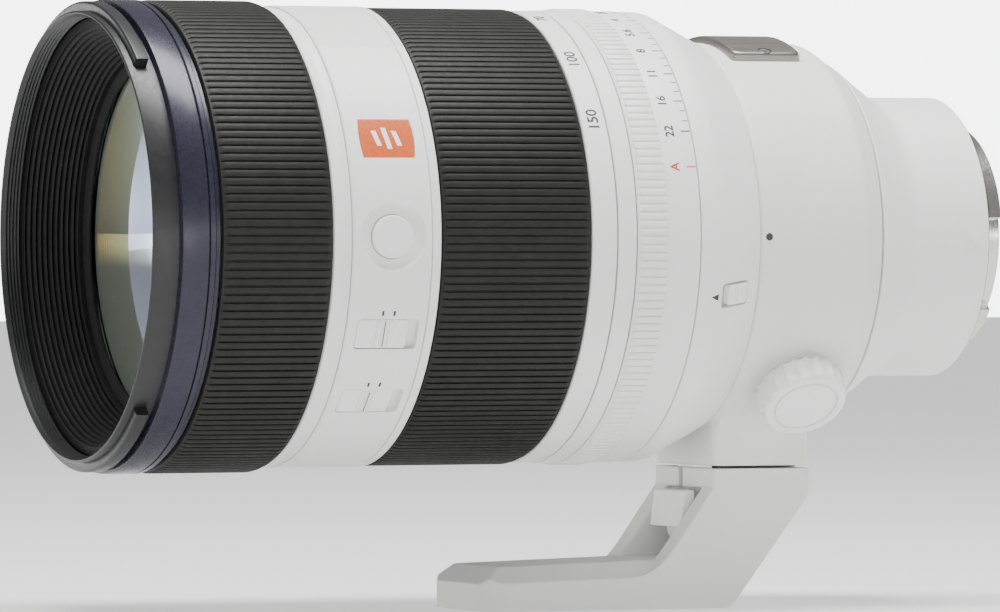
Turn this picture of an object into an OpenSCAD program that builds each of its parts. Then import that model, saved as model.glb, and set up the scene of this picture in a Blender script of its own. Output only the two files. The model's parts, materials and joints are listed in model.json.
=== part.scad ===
// Telephoto zoom lens for a mirrorless camera, with a rotating tripod collar and a foot.
// The optical axis runs along X, the front glass faces -X, and +Z is up.
// The origin is the mouth of the large tripod socket, in the underside of the foot.

/* [Optical axis] */
// Height of the optical axis above the underside of the foot
axis_h = 81.4; // [81:0.1:84]
// Distance from the large tripod socket to the face of the lens mount
socket_to_flange = 85.2; // [84:0.1:87]

/* [Lengths along the axis] */
// Hood bayonet zone, behind the front rim
hood_zone = 5.7; // [5:0.1:6.5]
// Dark accent ring
accent_len = 7.6; // [7:0.1:8.5]
// Focus ring with its rubber grip, and the narrow groove before it
focus_len = 26.7; // [24:0.1:28]
// Waisted ring between the focus ring and the switch band
waist_len = 4.3; // [4:0.1:5]
// Switch band, with its narrow rear ring
switch_len = 20.5; // [20:0.1:22]
// Rubber grip of the zoom ring
zoom_grip_len = 34.7; // [32:0.1:36]
// Numbered band of the zoom ring
zoom_scale_len = 6; // [5:0.1:7]
// Fixed ring between the zoom ring and the aperture ring
fixed_ring_len = 4.5; // [4:0.1:5]
// Aperture ring
aperture_len = 15; // [14:0.1:16]
// Cylinder and cone in front of the collar
housing_len = 16.6; // [16:0.1:17]
// Collar, up to its seam on the rear cone
collar_len = 31.6; // [31:0.1:32]
// Rear cone behind the collar's seam
rear_cone_len = 15.1; // [14.5:0.1:15.5]
// Rear cylinder up to the mount face
rear_tube_len = 14.7; // [14:0.1:15.5]

/* [Radii] */
// Front rim
rim_r = 48.4; // [48.2:0.1:48.8]
// Accent ring and focus grip
front_r = 50.9; // [50.5:0.1:51.2]
// Switch band
band_r = 50; // [49.8:0.1:50.2]
// Zoom grip
zoom_r = 49.75; // [49.6:0.05:50]
// Numbered bands and the rear housing
scale_r = 49.45; // [49.3:0.05:49.6]
// Collar
collar_r = 42.8; // [42.5:0.1:43]
// Rear cylinder
rear_r = 31; // [30.8:0.1:31.5]
// Filter thread
filter_r = 47.5; // [47.5:0.1:47.6]
// Throat of the lens mount
throat_r = 23; // [22.8:0.1:23]

/* [Foot] */
// Width of the foot and of the block above it
foot_w = 32; // [30:0.5:34]
// Length of the foot's base bar
base_len = 57.6; // [55:0.2:59]
// Thickness of the base bar at its nose
base_t = 9.6; // [9:0.1:10]
// Radius of the large tripod socket
big_socket_r = 4.7625; // [4.7625:0.0001:4.7626]
// Radius of the small tripod socket
small_socket_r = 3.175; // [3.175:0.001:3.176]

/* [Controls] */
// Angle of the collar knob below the horizontal
knob_angle = 47; // [45:0.5:49]
// Radius over the knob's flutes
knob_r = 10; // [9.5:0.1:10.5]
// Number of flutes on the knob
knob_flutes = 22; // [18:1:26]
// Number of iris blades
blade_count = 9; // [9:1:9]

/* [Hidden] */

$fn = 144;
gap = 0.3;          // clearance between pieces that move past each other
fit = 0.1;          // radial clearance of a ring on its bearing surface
white = "gainsboro";
black = "#202022";

// Places along the axis, from the mount face forward
flange_x = socket_to_flange;
rear_tube_x = flange_x - rear_tube_len;
rear_cone_x = rear_tube_x - rear_cone_len;
collar_x = rear_cone_x - collar_len;
housing_x = collar_x - housing_len;
aperture_x = housing_x - aperture_len;
fixed_x = aperture_x - fixed_ring_len;
zoom_scale_x = fixed_x - zoom_scale_len;
zoom_x = zoom_scale_x - zoom_grip_len;
switch_x = zoom_x - switch_len;
waist_x = switch_x - waist_len;
focus_x = waist_x - focus_len;
accent_x = focus_x - accent_len;
rim_x = accent_x - hood_zone;

// Radii of the inner structure
barrel_r = 46.2;         // bearing surface under the focus, zoom and aperture rings
barrel_in_r = 43.4;
cam_r = 42.9;
cam_in_r = 41.1;
guide_r = 40.8;
guide_in_r = 39.2;
cell_r = 39;
sleeve_r = 37.8;         // rear housing's sleeve, which turns in the collar
sleeve_in_r = 35.6;
collar_in_r = 37.9;
seam_r = 39.1;           // collar's rear end, at its seam with the rear cone

// Zoom drive: the ring's turn, and the travel of the cell along the guide slots
zoom_turn = 65;
zoom_travel = 22;
zoom_cell_x = zoom_x + 4;
roller_r = 1.5;
cam_slot_r = 2.1;
cam_steps = 26;
key_r = 1.5;
key_top = barrel_r + 1;

// Iris
iris_x = housing_x + 4;
blade_pivot_r = 31;
blade_in_r = 27.5;
blade_t = 0.15;
blade_pitch = 0.25;
iris_stack = blade_count * blade_pitch;

// Front end
thread_len = 4.5;
tab_half_angle = 42;
tab_r = 50.5;
baffle_end = rim_x + 16;
front_glass_r = 38.9;
baffle_r = filter_r - 0.5;
front_cell_r = barrel_in_r - 0.05;

// Cell that moves to focus, and the motors beside it
focus_cell_x = rear_cone_x - 4;
motor_len = 15;
motor_r = 28.4;

// Collar block, dovetail and foot, measured from the origin
block_front = collar_x + 1.1;
block_back = collar_x + 24.4;
block_bottom = axis_h - 50.2;
foot_top = axis_h - 50.8;
arm_back = 48;
arm_front = 25.1;
bar_back = 28.5;
bar_rise = 1.2;          // the bar's top climbs toward the arm
foot_front = bar_back - base_len;
nose_r = 5;
dovetail_w = 22;
dovetail_h = 4;
dovetail_x = arm_front + 2.5;
wall_t = 6.3;
channel_top = foot_top - dovetail_h - 3.4;
channel_floor = base_t + bar_rise;
slit_bottom = foot_top - 4.4;
block_mid = (block_front + block_back) / 2;
insert_r = 6.5;
small_insert_r = 5;
small_socket_x = 15;
socket_depth = 8;
pin_x = 31;
pin_z = 19.4;
pin_r = 1.5;

// Collar's knob, clamp and top plate
knob_x = collar_x + 14.9;
knob_base = collar_r + 1.2;
knob_top = 50.5;
plate_r = 44.4;
plate_front = collar_x + 4.5;
plate_back = collar_x + 21.4;
plate_half_angle = 25.6;
plate_screw_angle = 22.9;
shoe_r = 4;
stud_r = 2;

// Controls on the switch band and on the cone in front of the collar
button_x = switch_x + 9.2;
button_r = 4.65;
switch_mid = switch_x + 9.4;
switch_angles = [-24.4, -44.4];
slot_len = 14.2;
slot_w = 7;
switch_travel = 2.3;
badge_angle = 24.7;
badge_half_angle = 5.1;
badge_len = 11.6;
lock_angle = -15.3;
lock_x = housing_x + 9.7;
lock_r = 46.8;
lock_slot_len = 8.6;
lock_travel = 1.7;
cone_tilt = 28;
index_dot_x = flange_x - 4.2;
index_dot_r = 1.1;
gasket_r = 30.5;
claw_angles = [78, 198, 311];

// Turns drawings made round +Z so that they lie round the optical axis
module along_axis() {
    translate([0, 0, axis_h]) rotate([0, 90, 0]) children();
}

// Lathe-turned piece from [radius, place along the axis] points
module lathe(outline) {
    along_axis() rotate_extrude() polygon(outline);
}

// Plain ring between two places along the axis
module ring(x0, x1, r_out, r_in) {
    lathe([[r_in, x0], [r_out, x0], [r_out, x1], [r_in, x1]]);
}

module disc(x0, x1, r) {
    along_axis() translate([0, 0, x0]) cylinder(h = x1 - x0, r = r);
}

// Local +Z points outward from the axis, at an angle above the horizontal of the switch side
module at_angle(angle, x) {
    translate([x, 0, axis_h]) rotate([90 - angle, 0, 0]) children();
}

// Rounded rectangle prism, long side along local X
module rounded_block(len, wid, h, r) {
    linear_extrude(h) {
        square([len - 2 * r, wid], center = true);
        square([len, wid - 2 * r], center = true);
        for (sx = [-1, 1], sy = [-1, 1])
            translate([sx * (len / 2 - r), sy * (wid / 2 - r)]) circle(r = r, $fn = 32);
    }
}

// Lens element: two ball surfaces cut to a rim; positive bulge swells toward -X at the front
module element(x0, edge_t, r, bulge_front, bulge_back) {
    function ball(b) = (r * r + b * b) / (2 * abs(b));
    function cap(b, s, x) = [for (i = [0:12]) let (q = i * r / 12)
        [q, x + s * sign(b) * (sqrt(ball(b) * ball(b) - q * q) - ball(b) + abs(b))]];
    front = cap(bulge_front, -1, x0);
    back = cap(bulge_back, 1, x0 + edge_t);
    lathe(concat(front, [for (i = [12:-1:0]) back[i]]));
}

module foot() {
    color(white) difference() {
        union() {
            // base bar, with its top edges chamfered
            difference() {
                side_plate(foot_w) polygon([
                    [foot_front, 0], [bar_back - 8, 0], [bar_back - 8, base_t + bar_rise],
                    [12, base_t + bar_rise], [foot_front, base_t]]);
                for (s = [-1, 1]) bar_chamfer(s);
                side_plate(foot_w + 2) polygon([
                    [foot_front - 1, base_t - 4.5], [foot_front + 4.8, base_t + 0.72],
                    [foot_front - 1, base_t + 0.72]]);
            }
            // arm and top block
            side_plate(foot_w) polygon([
                [6, 0], [bar_back, 0], [bar_back + 1.8, 1.4], [arm_back - 1.1, 23.1], [arm_back, 24.8],
                [arm_back, foot_top], [arm_front, foot_top], [arm_front, 26.6], [16.3, 14.3],
                [14.2, 11.6], [12, 9.5], [9.6, 8.1], [7, 7.3], [6, 6.9]]);
        }
        // rounded nose
        for (s = [-1, 1]) translate([foot_front + nose_r, s * (foot_w / 2 - nose_r), -1]) difference() {
            translate([-nose_r - 1, s > 0 ? 0 : -nose_r - 1, 0]) cube([nose_r + 1, nose_r + 1, 14]);
            translate([0, 0, -1]) cylinder(r = nose_r, h = 16, $fn = 64);
        }
        // open channel in the arm for the release lever
        side_plate(foot_w - 2 * wall_t) polygon([
            [arm_front - 13, channel_floor], [pin_x, channel_floor], [38.5, channel_top - 1.4],
            [38.5, channel_top], [arm_front + 1.5, channel_top], [arm_front + 1.5, slit_bottom],
            [arm_front - 13, slit_bottom]]);
        // dovetail groove in the top, open to the rear
        translate([arm_front + 2, 0, foot_top - dovetail_h])
            dovetail_prism(arm_back - arm_front + 4, gap);
        // bores for the lever pin and the tripod socket inserts
        lever_axle(pin_r);
        translate([0, 0, -1]) cylinder(r = insert_r, h = socket_depth + 1, $fn = 64);
        translate([-small_socket_x, 0, -1]) cylinder(r = small_insert_r, h = socket_depth + 1, $fn = 64);
        // split in the front wall of the block
        translate([arm_front - 1, 1.1, slit_bottom - 1]) cube([3.2, 2.2, 12]);
    }
}

// Side outline spread evenly to both sides of the optical axis
module side_plate(width) {
    translate([0, width / 2, 0]) rotate([90, 0, 0]) linear_extrude(width) children();
}

// Wedge that takes one long top edge off the base bar, climbing with the bar's top
module bar_chamfer(side) {
    climb = atan2(bar_rise, 12 - foot_front);
    translate([foot_front, 0, base_t]) rotate([0, -climb, 0]) translate([-2, 0, 0])
        rotate([90, 0, 90]) linear_extrude(base_len)
            polygon([[side * (foot_w / 2 + 1), -4.5], [side * (foot_w / 2 - 4.8), 0.72],
                [side * (foot_w / 2 + 1), 0.72]]);
}

// The lever's axle, which ends inside the arm's side walls
module lever_axle(r) {
    half = foot_w / 2 - 3;
    translate([pin_x, -half, pin_z]) rotate([-90, 0, 0]) cylinder(r = r, h = 2 * half, $fn = 48);
}

module dovetail_prism(len, grow) {
    rotate([90, 0, 90]) linear_extrude(len) polygon([
        [-dovetail_w / 2 - grow, -grow], [dovetail_w / 2 + grow, -grow],
        [dovetail_w / 2 - 2 + grow, dovetail_h + 0.7], [2 - dovetail_w / 2 - grow, dovetail_h + 0.7]]);
}

module socket_inserts() {
    color("silver") {
        difference() {
            cylinder(r = insert_r, h = socket_depth, $fn = 64);
            translate([0, 0, -1]) cylinder(r = big_socket_r, h = 12, $fn = 64);
        }
        translate([-small_socket_x, 0, 0]) difference() {
            cylinder(r = small_insert_r, h = socket_depth, $fn = 64);
            translate([0, 0, -1]) cylinder(r = small_socket_r, h = 12, $fn = 64);
        }
    }
}

module lever_pin() {
    color("silver") lever_axle(pin_r);
}

// Thumb tab in the mouth of the arm, with a round nub below it, on a short crank from the pin
module release_lever() {
    lever_w = 16.8;
    tab_x = arm_front - 4.3;
    color(white) difference() {
        union() {
            translate([pin_x, -lever_w / 2, pin_z]) rotate([-90, 0, 0])
                cylinder(r = 3.2, h = lever_w, $fn = 48);
            translate([0, lever_w / 2, 0]) rotate([90, 0, 0]) linear_extrude(lever_w) polygon([
                [tab_x - 0.4, pin_z - 1.8], [tab_x + 0.8, slit_bottom - 0.5],
                [tab_x + 3, slit_bottom - 0.5],
                [tab_x + 3, pin_z + 1.8], [pin_x, pin_z + 1.8], [pin_x, pin_z - 1.8]]);
            translate([tab_x + 4.4, -3.2, pin_z - 2.2]) rotate([-90, 0, 0])
                cylinder(r = 3, h = 6.4, $fn = 48);
        }
        translate([pin_x, -20, pin_z]) rotate([-90, 0, 0]) cylinder(r = pin_r + fit, h = 40, $fn = 48);
    }
}

// Low-friction liner between the collar and the barrel's sleeve
module collar_liner() {
    color(black) difference() {
        ring(collar_x + 3, rear_cone_x - 4, collar_in_r + 0.6, collar_in_r);
        at_angle(-knob_angle, knob_x) translate([0, 0, 36]) cylinder(r = shoe_r + gap, h = 8, $fn = 64);
    }
}

module collar_ring() {
    color(white) difference() {
        union() {
            lathe([[collar_in_r, collar_x + gap], [collar_r - 0.6, collar_x + gap],
                [collar_r, collar_x + 0.9],
                   [collar_r, collar_x + 25.5], [collar_r - 0.2, collar_x + 26.3],
                   [seam_r, rear_cone_x - gap], [collar_in_r, rear_cone_x - gap]]);
            translate([block_mid, 0, block_bottom]) rounded_block(block_back - block_front, foot_w, 24, 2);
            for (side = [-1, 1]) block_fillet(side);
            at_angle(-knob_angle, knob_x) translate([0, 0, 38])
                cylinder(r = knob_r - 1.5, h = knob_base - 38);
        }
        disc(collar_x - 1, rear_cone_x + 1, collar_in_r);
        disc(collar_x + 3, rear_cone_x - 4, collar_in_r + 0.6);
        // pocket for the clamp shoe, bore for the stud
        at_angle(-knob_angle, knob_x) translate([0, 0, 35]) cylinder(r = shoe_r + fit, h = 6.2, $fn = 64);
        at_angle(-knob_angle, knob_x) translate([0, 0, 38]) cylinder(r = stud_r + fit, h = 12, $fn = 48);
        // seat for the dovetail's screws
        for (sx = [-1, 1], sy = [-1, 1])
            translate([block_mid + sx * 7, sy * 6, block_bottom - 1]) cylinder(r = 1, h = 7, $fn = 32);
        // seat for the top plate
        plate_sector(collar_r - 0.6, collar_r + 5, plate_front, plate_back, plate_half_angle);
        for (s = [-1, 1]) at_angle(90 + s * plate_screw_angle, (plate_front + plate_back) / 2)
            translate([0, 0, 40.4]) cylinder(r = 0.8, h = 6, $fn = 32);
    }
}

// Concave blend between the collar's round outside and one side of the block under it
module block_fillet(side) {
    blend_r = 5;
    across = foot_w / 2 + blend_r;
    down = sqrt(pow(collar_r + blend_r, 2) - pow(across, 2));
    reach = collar_r / (collar_r + blend_r);
    start = atan2(down * (1 - reach), -across * (1 - reach));
    translate([block_front + 1, 0, axis_h]) rotate([90, 0, 90])
        linear_extrude(block_back - block_front - 2)
        polygon(concat(
            [[side * (foot_w / 2 - 2), -down], [side * foot_w / 2, -down]],
            [for (k = [0:6]) let (a = 180 + (start - 180) * k / 6)
                [side * (across + blend_r * cos(a)), blend_r * sin(a) - down]],
            [[side * (foot_w / 2 - 2), -down * reach]]));
}

// Sector of a ring about the top of the collar
module plate_sector(r0, r1, x0, x1, half) {
    along_axis() rotate([0, 0, 180 - half]) translate([0, 0, x0])
        rotate_extrude(angle = 2 * half) translate([r0, 0]) square([r1 - r0, x1 - x0]);
}

module collar_dovetail() {
    color("silver") difference() {
        translate([dovetail_x, 0, foot_top - dovetail_h]) dovetail_prism(block_back - 0.5 - dovetail_x, 0);
        translate([0, -foot_w, block_bottom]) cube([100, 2 * foot_w, 10]);
        for (sx = [-1, 1], sy = [-1, 1]) translate([block_mid + sx * 7, sy * 6, 0]) {
            cylinder(r = 1, h = 60, $fn = 32);
            cylinder(r = 1.9, h = foot_top - dovetail_h + 1.6, $fn = 32);
        }
    }
}

module dovetail_screws() {
    color("silver") for (sx = [-1, 1], sy = [-1, 1])
        translate([block_mid + sx * 7, sy * 6, foot_top - dovetail_h + 0.3]) {
            translate([0, 0, 1.3]) cylinder(r = 1, h = 8, $fn = 32);
            difference() {
                cylinder(r = 1.9, h = 1.3, $fn = 32);
                translate([0, 0, -0.1]) cylinder(r = 0.9, h = 0.9, $fn = 6);
            }
        }
}

module collar_top_plate() {
    color("gray") difference() {
        plate_sector(collar_r - 0.6, plate_r, plate_front, plate_back, plate_half_angle);
        for (s = [-1, 1]) at_angle(90 + s * plate_screw_angle, (plate_front + plate_back) / 2) {
            translate([0, 0, 40]) cylinder(r = 0.8, h = 6, $fn = 32);
            translate([0, 0, plate_r - 0.9]) cylinder(r = 1.3, h = 6, $fn = 32);
        }
    }
}

module top_plate_screws() {
    color("silver") for (s = [-1, 1])
        at_angle(90 + s * plate_screw_angle, (plate_front + plate_back) / 2) {
        translate([0, 0, 40.4]) cylinder(r = 0.8, h = plate_r - 40.4 - 0.8, $fn = 32);
        translate([0, 0, plate_r - 0.9]) difference() {
            cylinder(r = 1.25, h = 0.75, $fn = 32);
            translate([0, 0, 0.3]) cylinder(r = 0.55, h = 1, $fn = 6);
        }
    }
}

module collar_knob() {
    color(white) at_angle(-knob_angle, knob_x) difference() {
        translate([0, 0, knob_base + gap]) cylinder(r = knob_r, h = knob_top - knob_base - gap);
        for (i = [0:knob_flutes - 1]) rotate(i * 360 / knob_flutes) translate([knob_r + 0.5, 0, knob_base])
            cylinder(r = 1, h = 20, $fn = 24);
        translate([0, 0, knob_top - 0.4]) difference() {
            cylinder(r = 7.4, h = 2);
            translate([0, 0, -1]) cylinder(r = 6.8, h = 4);
        }
        translate([0, 0, 40]) cylinder(r = stud_r, h = 8, $fn = 48);
    }
}

module clamp_stud() {
    color("silver") at_angle(-knob_angle, knob_x) translate([0, 0, 41.4])
        cylinder(r = stud_r, h = 48 - 41.4, $fn = 48);
}

module clamp_shoe() {
    color("dimgray") difference() {
        at_angle(-knob_angle, knob_x) translate([0, 0, 36]) cylinder(r = shoe_r, h = 4.9, $fn = 64);
        disc(collar_x, rear_cone_x, collar_in_r);
    }
}

module front_ring() {
    color(black) {
        lathe([[filter_r, rim_x], [rim_r - 0.3, rim_x], [rim_r, rim_x + 0.3], [rim_r, rim_x + 4.6],
               [rim_r + 0.4, accent_x - 0.05], [rim_r + 0.4, accent_x + 3], [baffle_r, accent_x + 3],
               [baffle_r, rim_x + thread_len], [filter_r, rim_x + thread_len]]);
        // bayonet tabs for the hood
        for (s = [0, 180]) along_axis() rotate([0, 0, 180 - tab_half_angle + s])
            translate([0, 0, rim_x + 1.5])
            rotate_extrude(angle = 2 * tab_half_angle)
                translate([rim_r - 0.5, 0]) square([tab_r - rim_r + 0.5, 2.9]);
    }
}

// Ribbed cone that keeps stray light off the front glass
module front_baffle() {
    ribs = 8;
    r0 = filter_r - 2.4;
    r1 = front_glass_r + 0.3;
    x0 = rim_x + thread_len;
    step = (baffle_end - 1 - x0) / ribs;
    color(black) lathe(concat(
        [[baffle_r, x0], [r0, x0]],
        [for (i = [0:ribs - 1]) each [
            [r0 - (r0 - r1) * (i + 0.15) / ribs, x0 + step * (i + 0.75)],
            [r0 - (r0 - r1) * (i + 1) / ribs, x0 + step * (i + 0.8)]]],
        [[r1, baffle_end], [front_cell_r, baffle_end], [front_cell_r, focus_x - 2.2],
        [barrel_r - 0.1, focus_x - 2.2],
         [barrel_r - 0.1, accent_x + 2.9], [baffle_r, accent_x + 2.9]]));
}

module front_cell() {
    lip_r = front_glass_r - 2.5;
    seat_r = front_glass_r + 0.1;
    color(black) lathe([
        [lip_r, baffle_end + 0.6], [seat_r - 0.4, baffle_end], [front_cell_r, baffle_end],
        [front_cell_r, baffle_end + 10], [seat_r, baffle_end + 10], [seat_r, baffle_end + 1.4],
        [lip_r, baffle_end + 1.4]]);
}

module front_element() {
    color("lightcyan", 0.4) element(baffle_end + 2, 5.5, front_glass_r, 4.2, 3);
}

module accent_ring() {
    color("#19192a") lathe([
        [rim_r + 0.4, accent_x], [front_r - 0.3, accent_x], [front_r, accent_x + 0.3],
        [front_r, focus_x - 0.2],
        [front_r - 0.2, focus_x], [front_r - 1.2, focus_x], [front_r - 1.2, focus_x + 1.2],
        [46.2, focus_x + 1.2], [46.2, accent_x + 3.1], [rim_r + 0.4, accent_x + 3.1]]);
}

// Tube that carries everything forward of the aperture ring; its flange is the waisted ring
module main_barrel() {
    color(white) difference() {
        union() {
            ring(focus_x - 2, housing_x + 3 - 0.05, barrel_r, barrel_in_r);
            lathe([[barrel_r - 1, waist_x], [49.9, waist_x], [49.2, waist_x + 0.9], [49.2, switch_x - 0.9],
                   [49.9, switch_x], [barrel_r - 1, switch_x]]);
        }
        // window that lets the zoom ring's keys reach the cam sleeve
        for (i = [0:2]) along_axis() rotate([0, 0, i * 120 - zoom_turn / 2]) translate([0, 0, zoom_x + 6])
            rotate([0, 0, -zoom_turn / 2 - 5]) rotate_extrude(angle = zoom_turn + 10)
                translate([40, 0]) square([8, 5]);
    }
}

module switch_band() {
    color(white) difference() {
        lathe([[barrel_r, switch_x], [band_r - 0.2, switch_x], [band_r, switch_x + 0.2],
               [band_r, zoom_x - 2.4], [band_r - 0.35, zoom_x - 2.2], [band_r, zoom_x - 2],
               [band_r, zoom_x - gap], [barrel_r, zoom_x - gap]]);
        at_angle(0, button_x) translate([0, 0, band_r - 1.2]) {
            difference() {
                cylinder(r = 7.5, h = 5, $fn = 96);
                translate([0, 0, -1]) cylinder(r = 5.6, h = 1.6, $fn = 96);
            }
            translate([0, 0, -1.8]) cylinder(r = button_r + fit, h = 8, $fn = 96);
        }
        for (a = switch_angles) at_angle(a, switch_mid) {
            translate([0, 0, band_r - 1.6]) rounded_block(slot_len, slot_w, 6, 1);
            translate([0, 0, band_r - 2.9]) rounded_block(slot_len - 5, 2, 4, 0.9);
        }
        badge_plate(badge_len + 0.2, 3);
    }
}

// Curved plate that follows the band, sunk 0.5 mm into it
module badge_plate(len, thick) {
    along_axis() rotate([0, 0, 90 - badge_angle - badge_half_angle])
        translate([0, 0, switch_mid - len / 2])
        rotate_extrude(angle = 2 * badge_half_angle) translate([band_r - 0.5, 0]) square([thick, len]);
}

module badge() {
    color("orangered") badge_plate(badge_len, 0.6);
}

module fixed_ring() {
    color(white) ring(fixed_x + gap / 2, aperture_x - gap / 2, scale_r + 0.1, barrel_r);
}

module rear_housing() {
    color(white) difference() {
        lathe([[barrel_r, housing_x], [scale_r, housing_x], [scale_r, housing_x + 4.2],
               [scale_r - 0.25, housing_x + 5.1], [scale_r - 0.83, housing_x + 6.2],
               [43.3, collar_x - 0.2], [sleeve_r, collar_x - 0.2], [sleeve_r, rear_cone_x - 0.1],
               [sleeve_in_r, rear_cone_x - 0.1], [sleeve_in_r, housing_x + 8],
               [barrel_in_r, housing_x + 3], [barrel_r, housing_x + 3]]);
        on_cone() translate([0, 0, -1.9]) rounded_block(lock_slot_len, 5.5, 6, 0.8);
    }
}

// Local +Z points out of the front cone's surface, at the iris lock
module on_cone() {
    at_angle(lock_angle, lock_x) translate([0, 0, lock_r]) rotate([0, cone_tilt, 0]) children();
}

module rear_cone() {
    foot_x = rear_tube_x - 3.3;      // where the cone's line meets the cylinder's
    blend = 2.2;
    bore_r = 27.5;
    start = [seam_r, rear_cone_x + 0.3];
    foot = [rear_r, foot_x];
    from = foot + (start - foot) * blend / norm(start - foot);
    to = foot + [0, blend];
    color(white) difference() {
        lathe(concat(
            [[sleeve_in_r - 0.1, rear_cone_x - 6], [sleeve_in_r - 0.1, rear_cone_x],
             [seam_r - 0.3, rear_cone_x], start],
            [for (k = [0:6]) let (t = k / 6)
                from * pow(1 - t, 2) + foot * 2 * t * (1 - t) + to * pow(t, 2)],
            [[rear_r, flange_x - 0.2], [gasket_r, flange_x - 0.2], [gasket_r, flange_x - 1.2],
             [bore_r, flange_x - 1.2], [bore_r, rear_tube_x - 1], [34, rear_cone_x - 6]]));
        at_angle(0, index_dot_x) translate([0, 0, rear_r - 0.6])
            cylinder(r = index_dot_r, h = 2, $fn = 48);
    }
}

module guide_tube() {
    color("silver") difference() {
        ring(zoom_x + 1, housing_x + 2, guide_r, guide_in_r);
        for (i = [0:2]) along_axis() rotate([0, 0, i * 120 + 60])
            translate([30, -roller_r - fit, zoom_cell_x + 3 - roller_r - 0.6])
                cube([16, 2 * (roller_r + fit), zoom_travel + 2 * roller_r + 1.2]);
    }
}

// The rollers run in three helical slots of this sleeve, so its turn drives the cell along
module cam_sleeve() {
    color("darkgoldenrod") {
        difference() {
            ring(zoom_x + 1.4, zoom_scale_x + 4, cam_r, cam_in_r);
            for (i = [0:2], k = [0:cam_steps]) along_axis()
                rotate([0, 0, i * 120 + 60 + zoom_turn * k / cam_steps])
                    translate([38, 0, zoom_cell_x + 3 + zoom_travel * k / cam_steps])
                        rotate([0, 90, 0]) cylinder(r = cam_slot_r, h = 8, $fn = 32);
        }
        for (i = [0:2]) along_axis() rotate([0, 0, i * 120]) translate([cam_r - 0.6, 0, zoom_x + 8.5])
            rotate([0, 90, 0]) cylinder(r = key_r, h = key_top - cam_r + 0.6, $fn = 32);
    }
}

module zoom_cell() {
    color(black) {
        ring(zoom_cell_x, zoom_cell_x + 8, cell_r, 33.2);
        for (i = [0:2]) along_axis() rotate([0, 0, i * 120 + 60])
            translate([cell_r - 1, 0, zoom_cell_x + 3]) rotate([0, 90, 0])
                cylinder(r = roller_r, h = cam_r - cell_r + 0.8, $fn = 32);
    }
}

module zoom_element() {
    color("lightcyan", 0.4) element(zoom_cell_x + 2, 3, 33, 2.4, 2.4);
}

module iris_housing() {
    back = iris_x + iris_stack;
    color(black) difference() {
        ring(iris_x, back + 9, sleeve_in_r - 0.1, 24);
        ring(iris_x + 1, back + 4.4, sleeve_in_r - 0.6, 20);
        disc(iris_x - 1, iris_x + 2, blade_in_r);
        ring(back + 5.4, back + 8, 27.3, 20);
        disc(back + 7, back + 12, 26);
    }
}

module iris_drive_ring() {
    color("silver") difference() {
        ring(iris_x + iris_stack + 2, iris_x + iris_stack + 3.2, sleeve_in_r - 0.9, 28);
        for (i = [0:blade_count - 1]) along_axis() rotate([0, 0, i * 360 / blade_count])
            translate([29.5, -1.2, 0]) cube([4.5, 2.4, 100]);
    }
}

// One flat arc that swings in about its pivot, in a plane of its own
module iris_blade(i) {
    half_w = blade_pivot_r - blade_in_r;
    color("dimgray") along_axis() rotate([0, 0, i * 360 / blade_count])
        translate([0, 0, iris_x + 1.3 + i * blade_pitch]) linear_extrude(blade_t) difference() {
            union() {
                intersection() {
                    difference() {
                        circle(r = blade_pivot_r + half_w);
                        circle(r = blade_in_r);
                    }
                    polygon([[0, 0], [60, 0], [60, 60], [0, 60]]);
                }
                translate([blade_pivot_r, 0]) circle(r = half_w, $fn = 48);
                translate([0, blade_pivot_r]) circle(r = half_w, $fn = 48);
            }
            translate([blade_pivot_r, 0]) circle(r = 0.8, $fn = 24);
        }
}

module relay_element() {
    color("lightcyan", 0.4) element(iris_x + iris_stack + 6, 1.4, 27, 1.4, 2.2);
}

module circuit_board() {
    color("darkgreen") ring(flange_x - 8, flange_x - 6.4, 27.4, 23.8);
}

// Two linear motors beside the focusing cell
module focus_motors() {
    color("silver") for (a = [0, 180]) at_angle(a, 0)
        translate([rear_cone_x - 6.5 - motor_len, -4, motor_r])
        cube([motor_len, 8, 5]);
}

module focus_cell() {
    color(black) ring(focus_cell_x, focus_cell_x + 6, 27.4, 24.2);
}

module focus_element() {
    color("lightcyan", 0.4) element(focus_cell_x + 1.6, 2.4, 24.1, 1.6, -1.2);
}

module mount_flange() {
    color("silver") difference() {
        union() {
            ring(flange_x - 1.2, flange_x, 30, throat_r - 1.6);
            ring(flange_x - 0.6, flange_x + 6, throat_r - 0.2, throat_r - 1.6);
            for (a = claw_angles) along_axis() rotate([0, 0, a]) translate([0, 0, flange_x + 3.1])
                rotate_extrude(angle = 62) translate([throat_r - 1, 0]) square([2.6, 2.7]);
        }
        mount_screw_places() translate([0, 0, -3]) cylinder(r = 0.8, h = 6, $fn = 32);
        mount_screw_places() translate([0, 0, -0.7]) cylinder(r = 1.4, h = 3, $fn = 32);
    }
}

module mount_screw_places() {
    for (i = [0:5]) along_axis() rotate([0, 0, i * 60 + 15]) translate([27, 0, flange_x]) children();
}

module mount_screws() {
    color("silver") mount_screw_places() difference() {
        union() {
            translate([0, 0, -0.65]) cylinder(r = 1.3, h = 0.6, $fn = 32);
            translate([0, 0, -1.15]) cylinder(r = 0.75, h = 0.6, $fn = 32);
        }
        translate([0, 0, -0.35]) cylinder(r = 0.5, h = 1, $fn = 6);
    }
}

module mount_gasket() {
    color(black) ring(flange_x - 1.2, flange_x - 0.2, gasket_r, 30);
}

module contact_block() {
    color(black) difference() {
        along_axis() rotate([0, 0, 153]) translate([0, 0, flange_x - 6]) rotate_extrude(angle = 54)
            translate([17.2, 0]) square([4, 10.4]);
        contact_places() cylinder(r = 0.5, h = 9, center = true, $fn = 24);
    }
}

module contact_places() {
    for (i = [0:9]) along_axis() rotate([0, 0, 158.4 + i * 4.8]) translate([19.2, 0, flange_x + 4.4])
        children();
}

module contact_pins() {
    color("gold") contact_places() translate([0, 0, -3]) cylinder(r = 0.5, h = 3.2, $fn = 24);
}

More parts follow.
